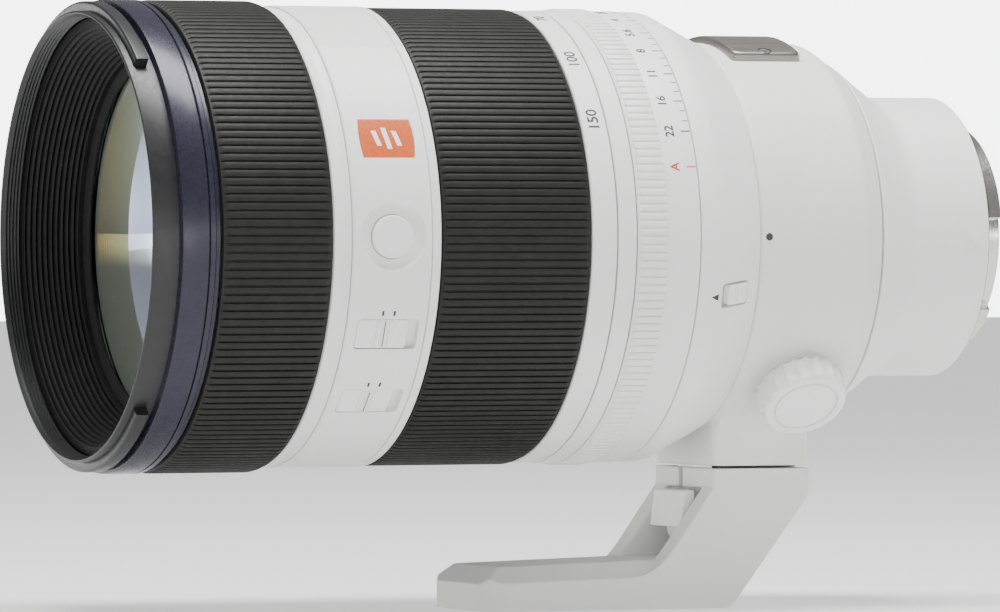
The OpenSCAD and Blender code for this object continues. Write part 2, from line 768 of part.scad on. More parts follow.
module rear_element() {
    color("lightcyan", 0.4) element(flange_x - 3, 1.6, 16.6, 1.4, -1);
}

module mount_index_dot() {
    color("white") at_angle(0, index_dot_x) translate([0, 0, rear_r - 0.6])
        cylinder(r = index_dot_r, h = 1, $fn = 48);
}

module focus_ring() {
    color(black) ring(focus_x + 1.5, waist_x - gap, 49.1, barrel_r + fit);
}

module focus_grip() {
    color(black) ring(focus_x + 1.5, waist_x - gap, front_r, 49.1);
}

module zoom_ring() {
    color(white) difference() {
        union() {
            ring(zoom_x, fixed_x - gap / 2, 48, barrel_r + fit);
            ring(zoom_scale_x, fixed_x - gap / 2, scale_r, 47);
        }
        for (i = [0:2]) along_axis() rotate([0, 0, i * 120]) translate([44, 0, zoom_x + 8.5])
            rotate([0, 90, 0]) cylinder(r = key_r, h = key_top - 43.9, $fn = 32);
    }
}

module zoom_grip() {
    color(black) ring(zoom_x, zoom_scale_x, zoom_r, 48);
}

module aperture_ring() {
    color(white) lathe([
        [barrel_r + fit, aperture_x + gap / 2], [scale_r, aperture_x + gap / 2],
        [band_r, aperture_x + 0.5],
        [band_r, aperture_x + 7.1], [scale_r, aperture_x + 7.5], [scale_r, housing_x - gap / 2],
        [barrel_r + fit, housing_x - gap / 2]]);
}

// Sliding key of a slot: a thin base with a raised thumb piece on its front part
module slide_key(len, wid, base_r, top_r) {
    translate([0, 0, base_r]) rounded_block(len, wid, top_r - base_r, 0.6);
    for (i = [-1, 0, 1]) translate([i * 1.5 - 0.3, -wid / 2 + 0.6, top_r - 0.05])
        cube([0.6, wid - 1.2, 0.4]);
}

module focus_mode_switch() {
    color(white) at_angle(switch_angles[0], switch_mid - switch_travel / 2)
        slide_key(slot_len - switch_travel - 0.3, slot_w - 0.4, band_r - 1.3, band_r - 0.2);
}

module manual_focus_switch() {
    color(white) at_angle(switch_angles[1], switch_mid - switch_travel / 2)
        slide_key(slot_len - switch_travel - 0.3, slot_w - 0.4, band_r - 1.3, band_r - 0.2);
}

module iris_lock_switch() {
    color(white) on_cone() translate([lock_travel / 2, 0, -1.5])
        rounded_block(lock_slot_len - lock_travel - 0.6, 4.4, 1.9, 0.6);
}

module focus_hold_button() {
    color(white) at_angle(0, button_x) translate([0, 0, band_r - 1.9])
        cylinder(r = button_r, h = 1.8, $fn = 96);
}

foot();
socket_inserts();
lever_pin();
release_lever();
collar_liner();
collar_ring();
collar_dovetail();
dovetail_screws();
collar_top_plate();
top_plate_screws();
collar_knob();
clamp_stud();
clamp_shoe();
front_ring();
front_baffle();
front_cell();
front_element();
accent_ring();
main_barrel();
switch_band();
badge();
fixed_ring();
rear_housing();
rear_cone();
guide_tube();
iris_housing();
relay_element();
circuit_board();
focus_motors();
mount_flange();
mount_screws();
mount_gasket();
contact_block();
contact_pins();
rear_element();
mount_index_dot();
focus_ring();
focus_grip();
zoom_ring();
zoom_grip();
cam_sleeve();
zoom_cell();
zoom_element();
aperture_ring();
focus_cell();
focus_element();
iris_drive_ring();
focus_mode_switch();
manual_focus_switch();
iris_lock_switch();
focus_hold_button();
for (i = [1:9])
    iris_blade(i - 1);
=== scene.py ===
"""Looks for a white telephoto zoom lens with a tripod collar.

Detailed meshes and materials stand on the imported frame.
"""
import json
import math

import bmesh
import bpy
from mathutils import Matrix, Vector


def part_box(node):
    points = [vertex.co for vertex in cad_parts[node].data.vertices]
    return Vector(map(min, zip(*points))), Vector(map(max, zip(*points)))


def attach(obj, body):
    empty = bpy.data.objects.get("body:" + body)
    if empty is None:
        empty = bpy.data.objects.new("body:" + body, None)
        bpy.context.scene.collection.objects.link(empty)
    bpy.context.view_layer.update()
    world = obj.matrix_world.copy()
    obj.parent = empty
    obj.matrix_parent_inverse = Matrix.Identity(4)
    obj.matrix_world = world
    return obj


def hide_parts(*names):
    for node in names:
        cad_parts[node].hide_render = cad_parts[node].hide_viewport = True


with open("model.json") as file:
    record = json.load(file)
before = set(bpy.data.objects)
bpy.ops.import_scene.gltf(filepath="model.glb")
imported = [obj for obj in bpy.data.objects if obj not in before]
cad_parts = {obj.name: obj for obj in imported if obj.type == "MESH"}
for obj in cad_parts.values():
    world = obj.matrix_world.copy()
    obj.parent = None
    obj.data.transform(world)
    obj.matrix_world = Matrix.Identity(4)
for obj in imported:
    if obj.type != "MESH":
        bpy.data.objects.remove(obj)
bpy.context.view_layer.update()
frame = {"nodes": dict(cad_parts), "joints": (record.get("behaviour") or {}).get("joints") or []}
MM = 0.001
TAU = 2 * math.pi
AXIS_Z = next(j for j in frame["joints"] if j["name"] == "collar_turn")["pos_m"][2] / MM


# ---------------------------------------------------------------- places, in mm, from the frame

def low(node):
    return [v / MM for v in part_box(node)[0]]


def high(node):
    return [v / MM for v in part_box(node)[1]]


def ends(node):
    """Where a node starts and stops along the optical axis."""
    return low(node)[0], high(node)[0]


def radius(node):
    """Outer radius of a node that is round about the optical axis."""
    return (high(node)[1] - low(node)[1]) / 2


RIM_X = low("front_ring")[0]
ACCENT_X = low("accent_ring")[0]
FOCUS_X0, FOCUS_X1 = ends("focus_grip")
BAND_X0, BAND_X1 = ends("switch_band")
ZOOM_X0, ZOOM_X1 = ends("zoom_grip")
SCALE_X1 = high("zoom_ring")[0]
FIXED_X0, FIXED_X1 = ends("fixed_ring")
APERTURE_X0, APERTURE_X1 = ends("aperture_ring")
HOUSING_X = low("rear_housing")[0]
COLLAR_X0, COLLAR_X1 = ends("collar_ring")
REAR_X = high("rear_cone")[0]
GRIP_R = radius("focus_grip")
BAND_R = radius("switch_band")
ZOOM_R = radius("zoom_grip")
SCALE_R = radius("zoom_ring")
COLLAR_R = radius("collar_ring")
BARREL_R = 46.25         # where the fixed rings sit on the barrel
RUNNING_R = 46.35        # bore of the rings that turn on it
SLEEVE_R = 37.8          # rear housing's sleeve, inside the collar
SLEEVE_IN_R = 35.7
CELL_R = 43.3            # outside of the front cell
PLATE_HALF_ANGLE = 25.6
PLATE_SCREW_ANGLE = 22.9
KNOB_ANGLE = -47
MARK_LINE = 0.5          # spacing of the cuts that let a flat mark bend round a cylinder


# ---------------------------------------------------------------- mesh helpers

def new_object(name, verts, faces, material=None):
    """Mesh object from points in millimetres."""
    mesh = bpy.data.meshes.new(name)
    mesh.from_pydata([Vector(v) * MM for v in verts], [], faces)
    bm = bmesh.new()
    bm.from_mesh(mesh)
    bmesh.ops.recalc_face_normals(bm, faces=bm.faces)
    bm.to_mesh(mesh)
    bm.free()
    obj = bpy.data.objects.new(name, mesh)
    bpy.context.scene.collection.objects.link(obj)
    if material:
        mesh.materials.append(material)
    return obj


def smooth(obj, degrees=32):
    """Smooth shading, with edges sharper than the angle kept."""
    obj.data.shade_smooth()
    obj.data.set_sharp_from_angle(angle=math.radians(degrees))
    return obj


def rounded(outline, size, steps=3):
    """Closed outline with every corner cut to a small arc."""
    result = []
    count = len(outline)
    for i, here in enumerate(outline):
        here = Vector(here)
        before = Vector(outline[i - 1]) - here
        after = Vector(outline[(i + 1) % count]) - here
        if before.length < 1e-9 or after.length < 1e-9:
            result.append(tuple(here))
            continue
        reach = min(size, before.length * 0.45, after.length * 0.45)
        start = here + before.normalized() * reach
        stop = here + after.normalized() * reach
        for k in range(steps + 1):
            t = k / steps
            result.append(tuple(start * (1 - t) ** 2 + here * 2 * t * (1 - t) + stop * t ** 2))
    return result


def lathe(name, outline, material, steps=360, corner=0.0, sharp=32):
    """Closed outline of (x, r) points turned round the optical axis. A point at r = 0 becomes a pole."""
    if corner:
        outline = rounded(outline, corner)
    verts = []
    rings = []
    for x, r in outline:
        if r < 1e-6:
            rings.append([len(verts)] * steps)
            verts.append((x, 0, AXIS_Z))
            continue
        rings.append(list(range(len(verts), len(verts) + steps)))
        for k in range(steps):
            a = TAU * k / steps
            verts.append((x, -r * math.cos(a), AXIS_Z + r * math.sin(a)))
    faces = []
    for i, ring in enumerate(rings):
        following = rings[(i + 1) % len(rings)]
        for k in range(steps):
            n = (k + 1) % steps
            corners = [ring[k], ring[n], following[n], following[k]]
            unique = list(dict.fromkeys(corners))
            if len(unique) > 2:
                faces.append(unique)
    return smooth(new_object(name, verts, faces, material), sharp)


def ribbed_ring(name, x0, x1, r, r_in, count, depth, material, land=0.62, run=1.1, edge=0.5):
    """Ring with lengthwise ribs that run out at both ends."""
    slope = (1 - land) * 0.3
    gap = 1 - land
    marks = [(0, 0), (1 - land - 2 * slope, 0), (gap - slope * 1.1, 0.85), (gap + slope * 0.4, 1),
             (1 - slope * 0.9, 1), (1 - slope * 0.25, 0.85)]
    floor = r - depth
    stations = [(x0, None, 0), (x0, floor - edge * 0.6, 0), (x0 + edge * 0.4, floor, 0),
                (x0 + edge, floor, 0), (x0 + edge + run * 0.45, floor, 0.72), (x0 + edge + run, floor, 1),
                (x1 - edge - run, floor, 1), (x1 - edge - run * 0.45, floor, 0.72), (x1 - edge, floor, 0),
                (x1 - edge * 0.4, floor, 0), (x1, floor - edge * 0.6, 0), (x1, None, 0)]
    verts = []
    per = count * len(marks)
    for x, base, lift in stations:
        for k in range(count):
            for share, top in marks:
                a = TAU * (k + share) / count
                here = r_in if base is None else base + depth * lift * top
                verts.append((x, -here * math.cos(a), AXIS_Z + here * math.sin(a)))
    faces = []
    for s in range(len(stations)):
        t = (s + 1) % len(stations)
        for k in range(per):
            n = (k + 1) % per
            faces.append([s * per + k, s * per + n, t * per + n, t * per + k])
    return smooth(new_object(name, verts, faces, material), 40)


def at_angle(angle, x):
    """Local +X along the axis, local +Z outward, with z counted from the axis.

    The angle is counted up from the horizontal on the switch side.
    """
    spin = Matrix.Rotation(math.radians(90 - angle), 4, "X")
    return Matrix.Translation((x * MM, 0, AXIS_Z * MM)) @ spin


def place(obj, matrix):
    obj.data.transform(matrix)
    obj.data.update()
    return obj


def block(name, size, centre, material=None, bevel=0.0, segments=3):
    """Box with bevelled edges, in millimetres."""
    verts = [(centre[0] + sx * size[0] / 2, centre[1] + sy * size[1] / 2, centre[2] + sz * size[2] / 2)
             for sx in (-1, 1) for sy in (-1, 1) for sz in (-1, 1)]
    faces = [(0, 1, 3, 2), (4, 6, 7, 5), (0, 4, 5, 1), (2, 3, 7, 6), (0, 2, 6, 4), (1, 5, 7, 3)]
    obj = new_object(name, verts, faces, material)
    if bevel:
        round_edges(obj, bevel, segments)
    return obj


def plate_outline(length, width, corner, steps=6):
    """Rounded rectangle about the origin."""
    points = []
    for i, (sx, sy) in enumerate([(1, 1), (-1, 1), (-1, -1), (1, -1)]):
        for k in range(steps + 1):
            a = math.radians(90 * i + 90 * k / steps)
            points.append((sx * (length / 2 - corner) + corner * math.cos(a),
                           sy * (width / 2 - corner) + corner * math.sin(a)))
    return points


def prism(name, outline, z0, z1, material=None, bevel=0.0, segments=3):
    """Outline in local x, y pushed from z0 to z1."""
    count = len(outline)
    verts = [(x, y, z) for z in (z0, z1) for x, y in outline]
    faces = [list(range(count))[::-1], list(range(count, 2 * count))]
    faces += [[k, (k + 1) % count, count + (k + 1) % count, count + k] for k in range(count)]
    obj = new_object(name, verts, faces, material)
    if bevel:
        round_edges(obj, bevel, segments, 50)
    return smooth(obj, 30)


def turned(name, outline, material=None, steps=96, sharp=32):
    """Closed outline of (r, z) points turned round local Z."""
    verts = []
    rings = []
    for r, z in outline:
        if r < 1e-6:
            rings.append([len(verts)] * steps)
            verts.append((0, 0, z))
            continue
        rings.append(list(range(len(verts), len(verts) + steps)))
        verts += [(r * math.cos(TAU * k / steps), r * math.sin(TAU * k / steps), z) for k in range(steps)]
    faces = []
    for i, ring in enumerate(rings):
        following = rings[(i + 1) % len(rings)]
        for k in range(steps):
            n = (k + 1) % steps
            unique = list(dict.fromkeys([ring[k], ring[n], following[n], following[k]]))
            if len(unique) > 2:
                faces.append(unique)
    return smooth(new_object(name, verts, faces, material), sharp)


def apply_modifiers(obj):
    """Bakes the modifiers into the mesh."""
    depsgraph = bpy.context.evaluated_depsgraph_get()
    mesh = bpy.data.meshes.new_from_object(obj.evaluated_get(depsgraph))
    obj.modifiers.clear()
    old = obj.data
    obj.data = mesh
    bpy.data.meshes.remove(old)
    return obj


def round_edges(obj, width, segments=3, degrees=30):
    mod = obj.modifiers.new("rounding", "BEVEL")
    mod.width = width * MM
    mod.segments = segments
    mod.limit_method = "ANGLE"
    mod.angle_limit = math.radians(degrees)
    mod.harden_normals = False
    return apply_modifiers(obj)


def cut(obj, cutters):
    """Cuts shapes out of obj, then throws the cutters away."""
    for tool in cutters:
        mod = obj.modifiers.new("cut", "BOOLEAN")
        mod.operation = "DIFFERENCE"
        mod.solver = "EXACT"
        mod.object = tool
        apply_modifiers(obj)
        bpy.data.objects.remove(tool, do_unlink=True)
    return obj


def join(name, parts):
    """One object from several."""
    bm = bmesh.new()
    materials = []
    for part in parts:
        start = len(bm.faces)
        bm.from_mesh(part.data)
        bm.faces.ensure_lookup_table()
        for m in part.data.materials:
            if m not in materials:
                materials.append(m)
        for face in bm.faces[start:]:
            face.material_index = materials.index(part.data.materials[face.material_index])
    mesh = bpy.data.meshes.new(name)
    bm.to_mesh(mesh)
    bm.free()
    for m in materials:
        mesh.materials.append(m)
    for part in parts:
        bpy.data.objects.remove(part, do_unlink=True)
    obj = bpy.data.objects.new(name, mesh)
    bpy.context.scene.collection.objects.link(obj)
    return obj


def wrap(obj, r, angle, x):
    """Lays a flat mesh on a cylinder of radius r.

    Local x runs along the axis, local y up round the cylinder and local z outward.
    """
    bm = bmesh.new()
    bm.from_mesh(obj.data)
    lines = int(max(abs(v.co.y) for v in bm.verts) / (MARK_LINE * MM))
    for k in range(-lines, lines + 1):
        bmesh.ops.bisect_plane(bm, geom=bm.verts[:] + bm.edges[:] + bm.faces[:], dist=1e-7,
                               plane_co=(0, k * MARK_LINE * MM, 0), plane_no=(0, 1, 0))
    bm.to_mesh(obj.data)
    bm.free()
    for v in obj.data.vertices:
        a = math.radians(angle) + v.co.y / (r * MM)
        reach = r * MM + v.co.z
        v.co = Vector((x * MM + v.co.x, -reach * math.cos(a), AXIS_Z * MM + reach * math.sin(a)))
    obj.data.update()
    return obj


def decal(name, outline, r, angle, x, material, lift=0.03):
    """Thin painted mark on a cylinder."""
    obj = prism(name, outline, -0.05, lift, material)
    bm = bmesh.new()
    bm.from_mesh(obj.data)
    bmesh.ops.triangulate(bm, faces=bm.faces)
    bm.to_mesh(obj.data)
    bm.free()
    return wrap(obj, r, angle, x)


def bar(length, width):
    """Outline of a painted bar, along the axis by length and round it by width."""
    return [(sx * length / 2, sy * width / 2) for sx, sy in ((-1, -1), (1, -1), (1, 1), (-1, 1))]


def dot(r, steps=24):
    """Outline of a painted dot."""
    return [(r * math.cos(TAU * k / steps), r * math.sin(TAU * k / steps)) for k in range(steps)]


def number(name, words, height, r, angle, x, material, turn=90):
    """Dial number on a cylinder. Its foot points to +X and it reads upward round the ring."""
    curve = bpy.data.curves.new(name, "FONT")
    curve.body = words
    curve.size = height * 1.5
    curve.offset = 0.05
    curve.align_x = "CENTER"
    curve.align_y = "CENTER"
    curve.extrude = 0.04
    curve.resolution_u = 4
    source = bpy.data.objects.new(name + "_source", curve)
    bpy.context.scene.collection.objects.link(source)
    depsgraph = bpy.context.evaluated_depsgraph_get()
    mesh = bpy.data.meshes.new_from_object(source.evaluated_get(depsgraph))
    bpy.data.objects.remove(source, do_unlink=True)
    mesh.transform(Matrix.Rotation(math.radians(turn), 4, "Z") @ Matrix.Scale(MM, 4))
    mesh.materials.clear()
    mesh.materials.append(material)
    obj = bpy.data.objects.new(name, mesh)
    bpy.context.scene.collection.objects.link(obj)
    return wrap(obj, r, angle, x)


def soft_cast(node, voxel, passes, material):
    """Copy of a CAD casting with every edge slightly rounded, as paint and casting leave it."""
    obj = bpy.data.objects.new(node + "_cast", frame["nodes"][node].data.copy())
    bpy.context.scene.collection.objects.link(obj)
    obj.data.materials.clear()
    obj.data.materials.append(material)
    remesh = obj.modifiers.new("remesh", "REMESH")
    remesh.mode = "VOXEL"
    remesh.voxel_size = voxel * MM
    remesh.adaptivity = 0
    relax = obj.modifiers.new("relax", "SMOOTH")
    relax.factor = 0.5
    relax.iterations = passes
    apply_modifiers(obj)
    obj.data.shade_smooth()
    return obj


def stand_for(obj, body, slot, *nodes):
    """Rides on a body and replaces CAD nodes. The slot argument is not used."""
    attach(obj, body)
    if nodes:
        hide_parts(*nodes)
    return obj


# ---------------------------------------------------------------- materials

class Finish:
    """A Principled material that is built up node by node."""

    def __init__(self, name, colour, roughness, metallic=0.0, **sockets):
        self.material = bpy.data.materials.new(name)
        self.material.use_nodes = True
        self.tree = self.material.node_tree
        self.shader = self.tree.nodes["Principled BSDF"]
        self.shader.inputs["Base Color"].default_value = (*colour, 1)
        self.shader.inputs["Roughness"].default_value = roughness
        self.shader.inputs["Metallic"].default_value = metallic
        for key, value in sockets.items():
            self.shader.inputs[key.replace("_", " ")].default_value = value
        self.colour = colour
        self.bump_end = None

    def add(self, kind, **values):
        node = self.tree.nodes.new(kind)
        for key, value in values.items():
            if key in node.inputs:
                node.inputs[key].default_value = value
            else:
                setattr(node, key, value)
        return node

    def link(self, source, target):
        self.tree.links.new(source, target)

    def place(self, stretch=(1, 1, 1)):
        coords = self.add("ShaderNodeTexCoord")
        mapping = self.add("ShaderNodeMapping")
        mapping.inputs["Scale"].default_value = stretch
        self.link(coords.outputs["Object"], mapping.inputs["Vector"])
        return mapping.outputs["Vector"]

    def noise(self, scale, detail=3.0, stretch=(1, 1, 1)):
        node = self.add("ShaderNodeTexNoise")
        node.inputs["Scale"].default_value = scale
        node.inputs["Detail"].default_value = detail
        self.link(self.place(stretch), node.inputs["Vector"])
        return node.outputs["Fac"]

    def spread(self, source, low_value, high_value):
        node = self.add("ShaderNodeMapRange")
        node.inputs["From Min"].default_value = 0.3
        node.inputs["From Max"].default_value = 0.7
        node.inputs["To Min"].default_value = low_value
        node.inputs["To Max"].default_value = high_value
        self.link(source, node.inputs["Value"])
        return node.outputs["Result"]

    def vary_colour(self, scale, other, detail=3.0, stretch=(1, 1, 1)):
        mix = self.add("ShaderNodeMix", data_type="RGBA")
        self.link(self.spread(self.noise(scale, detail, stretch), 0, 1), mix.inputs["Factor"])
        mix.inputs[6].default_value = (*self.colour, 1)
        mix.inputs[7].default_value = (*other, 1)
        self.link(mix.outputs[2], self.shader.inputs["Base Color"])
        return self

    def vary_roughness(self, scale, low_value, high_value, stretch=(1, 1, 1)):
        source = self.spread(self.noise(scale, 4, stretch), low_value, high_value)
        self.link(source, self.shader.inputs["Roughness"])
        return self

    def bump(self, scale, height_mm, strength=1.0, detail=2.0, stretch=(1, 1, 1)):
        node = self.add("ShaderNodeBump")
        node.inputs["Strength"].default_value = strength
        node.inputs["Distance"].default_value = height_mm * MM
        self.link(self.noise(scale, detail, stretch), node.inputs["Height"])
        if self.bump_end:
            self.link(self.bump_end, node.inputs["Normal"])
        self.bump_end = node.outputs["Normal"]
        self.link(self.bump_end, self.shader.inputs["Normal"])
        return self


def make_materials():
    """Every material of the lens, by a short name."""
    m = {}
    m["white"] = (Finish("white_paint", (0.80, 0.80, 0.79), 0.42, Specular_IOR_Level=0.45)
                  .vary_colour(60, (0.77, 0.77, 0.76)).vary_roughness(900, 0.36, 0.48)
                  .bump(2600, 0.010, 0.35)).material
    m["cast"] = (Finish("cast_paint", (0.80, 0.80, 0.79), 0.45, Specular_IOR_Level=0.45)
                 .vary_colour(55, (0.765, 0.765, 0.755)).vary_roughness(800, 0.40, 0.52)
                 .bump(2300, 0.014, 0.4)).material
    m["collar"] = (Finish("collar_paint", (0.74, 0.74, 0.725), 0.5, Specular_IOR_Level=0.45)
                   .vary_colour(70, (0.71, 0.71, 0.695)).vary_roughness(900, 0.44, 0.58)
                   .bump(1500, 0.03, 0.55).bump(3600, 0.012, 0.4)).material
    m["keys"] = (Finish("white_plastic", (0.82, 0.82, 0.81), 0.38, Specular_IOR_Level=0.5)
                 .vary_colour(80, (0.79, 0.79, 0.78)).vary_roughness(1200, 0.33, 0.43)
                 .bump(3200, 0.008, 0.3)).material
    m["rubber"] = (Finish("grip_rubber", (0.011, 0.011, 0.0105), 0.62, Specular_IOR_Level=0.22)
                   .vary_colour(240, (0.015, 0.015, 0.014)).vary_roughness(1500, 0.48, 0.66)
                   .bump(3500, 0.02, 0.5)).material
    m["black"] = (Finish("black_plastic", (0.011, 0.011, 0.012), 0.38, Specular_IOR_Level=0.42)
                  .vary_colour(300, (0.015, 0.015, 0.016)).vary_roughness(1400, 0.32, 0.46)
                  .bump(3000, 0.010, 0.4)).material
    m["matt_black"] = (Finish("baffle_black", (0.006, 0.006, 0.006), 0.62, Specular_IOR_Level=0.22)
                       .vary_colour(300, (0.009, 0.009, 0.009)).vary_roughness(1400, 0.55, 0.72)
                       .bump(3000, 0.015, 0.4)).material
    m["accent"] = (Finish("accent_plastic", (0.020, 0.018, 0.032), 0.28, 0.25, Specular_IOR_Level=0.3,
                          Coat_Weight=0.1, Coat_Roughness=0.18)
                   .vary_colour(400, (0.026, 0.023, 0.040)).vary_roughness(1600, 0.24, 0.34)
                   .bump(3500, 0.006, 0.3)).material
    m["badge"] = (Finish("badge_enamel", (0.60, 0.115, 0.028), 0.28, Coat_Weight=0.4, Coat_Roughness=0.1)
                  .vary_colour(500, (0.56, 0.10, 0.024)).vary_roughness(1200, 0.24, 0.34)
                  .bump(2500, 0.006, 0.3)).material
    m["plate"] = (Finish("top_plate_metal", (0.30, 0.285, 0.255), 0.34, 0.85)
                  .vary_colour(900, (0.25, 0.24, 0.215), stretch=(0.06, 1, 1))
                  .vary_roughness(1500, 0.28, 0.42, stretch=(0.05, 1, 1))
                  .bump(3800, 0.006, 0.5, stretch=(0.04, 1, 1))).material
    m["steel"] = (Finish("bare_steel", (0.58, 0.57, 0.55), 0.3, 1.0)
                  .vary_roughness(1800, 0.24, 0.38).bump(3800, 0.004, 0.4)).material
    m["chrome"] = (Finish("mount_steel", (0.66, 0.65, 0.63), 0.18, 1.0)
                   .vary_roughness(1500, 0.14, 0.26).bump(4200, 0.003, 0.4)).material
    m["alloy"] = (Finish("aluminium", (0.5, 0.5, 0.5), 0.4, 1.0)
                  .vary_roughness(1200, 0.34, 0.48).bump(3500, 0.006, 0.4)).material
    m["brass"] = (Finish("contact_gold", (0.83, 0.58, 0.24), 0.22, 1.0)
                  .vary_roughness(2600, 0.18, 0.3).bump(5000, 0.002, 0.4)).material
    m["board"] = (Finish("circuit_board", (0.02, 0.12, 0.05), 0.45)
                  .vary_colour(900, (0.03, 0.16, 0.07)).bump(2000, 0.02, 0.4)).material
    m["ink"] = (Finish("black_ink", (0.025, 0.025, 0.027), 0.5)
                .vary_colour(900, (0.035, 0.035, 0.037)).vary_roughness(2000, 0.45, 0.58)).material
    m["red_ink"] = (Finish("red_ink", (0.55, 0.04, 0.03), 0.5)
                    .vary_colour(900, (0.50, 0.035, 0.028)).vary_roughness(2000, 0.45, 0.58)).material
    m["white_ink"] = (Finish("white_ink", (0.83, 0.83, 0.83), 0.4)
                      .vary_colour(900, (0.80, 0.80, 0.80)).vary_roughness(2000, 0.36, 0.48)).material
    m["glass"] = (Finish("coated_glass", (0.93, 0.98, 0.96), 0.0, Transmission_Weight=1.0, IOR=1.6,
                         Thin_Film_Thickness=420.0, Thin_Film_IOR=1.38)).material
    m["inner_glass"] = (Finish("inner_glass", (0.9, 0.97, 0.94), 0.0,
                               Transmission_Weight=1.0, IOR=1.5)).material
    return m


MAT = make_materials()


# ---------------------------------------------------------------- front of the lens

def make_front_ring():
    """Black rim with a filter thread inside and the hood's bayonet tabs outside."""
    back = high("front_ring")[0]
    r_back = radius("front_ring")
    rim_r = r_back - 0.4
    bore = rim_r - 0.9
    thread_pitch = 0.75
    outline = [(RIM_X, rim_r - 0.25), (RIM_X + 0.25, rim_r), (RIM_X + 4.4, rim_r),
               (ACCENT_X - 0.15, r_back), (back, r_back), (back, bore)]
    x = RIM_X + 4.4
    while x > RIM_X + 0.7:
        outline += [(x, bore), (x - thread_pitch * 0.5, bore - 0.34)]
        x -= thread_pitch
    outline += [(RIM_X + 0.45, bore), (RIM_X, bore + 0.35)]
    ring = lathe("front_rim", outline, MAT["black"], 512, sharp=50)
    tabs = []
    tab_half = 42
    steps = 90
    tab_r = (high("front_ring")[2] - low("front_ring")[2]) / 2
    for side in (90, 270):
        section = rounded([(RIM_X + 1.5, rim_r - 0.3), (RIM_X + 1.5, tab_r - 0.35), (RIM_X + 1.85, tab_r),
                           (RIM_X + 4.4, tab_r), (RIM_X + 4.4, rim_r - 0.3)], 0.2)
        verts = []
        for k in range(steps + 1):
            a = math.radians(side - tab_half + 2 * tab_half * k / steps)
            verts += [(px, -pr * math.cos(a), AXIS_Z + pr * math.sin(a)) for px, pr in section]
        n = len(section)
        faces = [list(range(n)), list(range(steps * n, (steps + 1) * n))]
        faces += [[k * n + i, k * n + (i + 1) % n, (k + 1) * n + (i + 1) % n, (k + 1) * n + i]
                  for k in range(steps) for i in range(n)]
        tabs.append(smooth(new_object("tab", verts, faces, MAT["black"]), 40))
    return stand_for(join("front_ring_body", [ring] + tabs), "barrel", "black_plastic", "front_ring")


def make_baffle():
    """Ribbed black cone between the rim and the front glass."""
    x0, x1 = low("front_baffle")[0], high("front_cell")[0] - 10
    r0 = radius("front_baffle") - 1.9
    r1 = 39.2
    ribs = 10
    outline = [(x0, r0 + 1.85), (x0, r0)]
    step = (x1 - x0 - 1) / ribs
    for i in range(ribs):
        here = r0 + (r1 - r0) * i / ribs
        after = r0 + (r1 - r0) * (i + 1) / ribs
        xs = x0 + step * i
        outline += [(xs + step * 0.15, here - 0.10), (xs + step * 0.55, here + 0.42),
                    (xs + step * 0.75, after + 0.35), (xs + step * 0.95, after)]
    flange_r = BARREL_R - 0.2
    outline += [(x1 - 0.4, r1), (x1, r1), (x1, CELL_R), (RIM_X + 9.1, CELL_R), (RIM_X + 9.1, flange_r),
                (RIM_X + 8.7, flange_r), (RIM_X + 8.7, r0 + 1.85)]
    obj = lathe("ribbed_baffle", outline, MAT["matt_black"], 360, sharp=40)
    return stand_for(obj, "barrel", "black_plastic", "front_baffle")


def make_front_cell():
    """Dark retaining ring round the front glass."""
    x0, x1 = ends("front_cell")
    seat_r = 39.0
    lip_r = 36.6
    outline = [(x0, CELL_R), (x0, seat_r - 0.3), (x0 + 0.4, lip_r), (x0 + 0.9, lip_r - 0.15),
               (x0 + 1.3, lip_r), (x0 + 1.3, seat_r), (x1, seat_r), (x1, CELL_R)]
    obj = lathe("front_cell_ring", outline, MAT["matt_black"], 360, corner=0.12)
    return stand_for(obj, "barrel", "black_plastic", "front_cell")


def element(name, node, bulge_front, bulge_back, material, body):
    """Lens element between its node's ends, with ball-shaped faces."""
    x0, x1 = ends(node)
    r = radius(node) - 0.02
    front_edge = x0 + max(bulge_front, 0)
    back_edge = x1 - max(bulge_back, 0)
    steps = 20

    def depth(bulge, q):
        ball = (r * r + bulge * bulge) / (2 * abs(bulge))
        return math.copysign(math.sqrt(ball * ball - q * q) - ball + abs(bulge), bulge)

    reach = [r * i / steps for i in range(steps + 1)]
    outline = [(front_edge - depth(bulge_front, q), q) for q in reach]
    outline += [(back_edge + depth(bulge_back, q), q) for q in reversed(reach)]
    obj = lathe(name, outline, material, 192, sharp=45)
    return stand_for(obj, body, "lens_glass", node)


def make_glass():
    """The five elements."""
    element("front_glass", "front_element", 4.2, 3, MAT["glass"], "barrel")
    element("zoom_glass", "zoom_element", 2.4, 2.4, MAT["inner_glass"], "zoom_cell")
    element("relay_glass", "relay_element", 1.4, 2.2, MAT["inner_glass"], "barrel")
    element("focus_glass", "focus_element", 1.6, -1.2, MAT["inner_glass"], "focus_cell")
    element("rear_glass", "rear_element", 1.4, -1, MAT["glass"], "barrel")


def make_accent_ring():
    """Dark blue-black ring with a fine groove before the focus grip."""
    x1 = high("accent_ring")[0] - 1.2
    seat_r = 46.3
    groove_r = GRIP_R - 0.55
    step_r = GRIP_R - 1.2
    outline = [(ACCENT_X, seat_r), (ACCENT_X, groove_r), (ACCENT_X + 0.12, GRIP_R - 0.2),
               (ACCENT_X + 0.5, GRIP_R), (x1 - 1.75, GRIP_R), (x1 - 1.62, GRIP_R - 0.12),
               (x1 - 1.62, groove_r), (x1 - 1.3, groove_r), (x1 - 1.3, GRIP_R - 0.12), (x1 - 1.15, GRIP_R),
               (x1 - 0.25, GRIP_R), (x1, GRIP_R - 0.3), (x1, step_r), (x1 + 1.15, step_r),
               (x1 + 1.15, seat_r)]
    obj = lathe("accent_ring_body", outline, MAT["accent"], 512)
    return stand_for(obj, "barrel", "accent_plastic", "accent_ring")


# ---------------------------------------------------------------- rings

